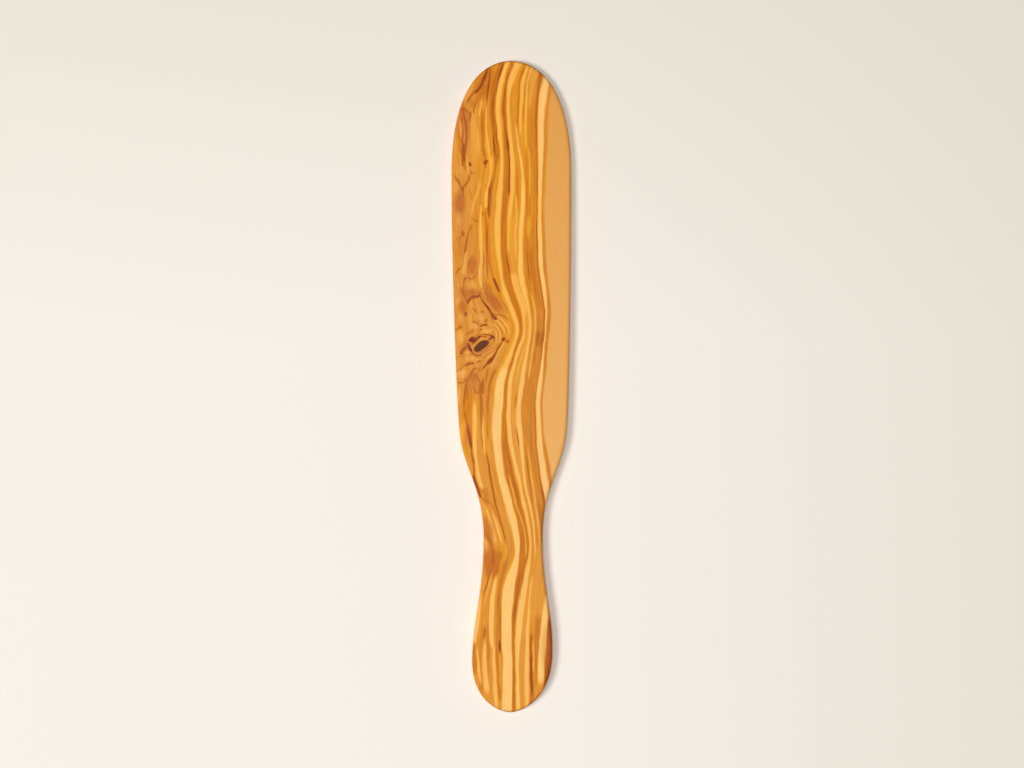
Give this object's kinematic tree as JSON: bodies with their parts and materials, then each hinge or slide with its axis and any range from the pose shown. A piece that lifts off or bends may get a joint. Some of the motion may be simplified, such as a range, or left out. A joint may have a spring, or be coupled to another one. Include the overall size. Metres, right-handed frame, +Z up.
{
  "type": "wooden spreading spatula",
  "caption": "Flat olive-wood spreading spatula: a long round-tipped blade that narrows through a waisted neck to a paddle-shaped handle, with rounded edges.",
  "frame": {"origin": "middle of the outline's bounding box, on the flat underside", "axes": "+X to the right across the blade, +Y from the handle's end to the blade's tip, +Z up through the thickness"},
  "size_m": [0.055, 0.3, 0.0068],
  "materials": {
    "olive_wood": "sanded smooth and oiled, satin, with strongly striped honey, pale yellow and brown grain, one brown-hearted knot and a plain pale sapwood strip"
  },
  "bodies": {
    "root": {"spatula": "olive_wood"}
  },
  "joints": []
}
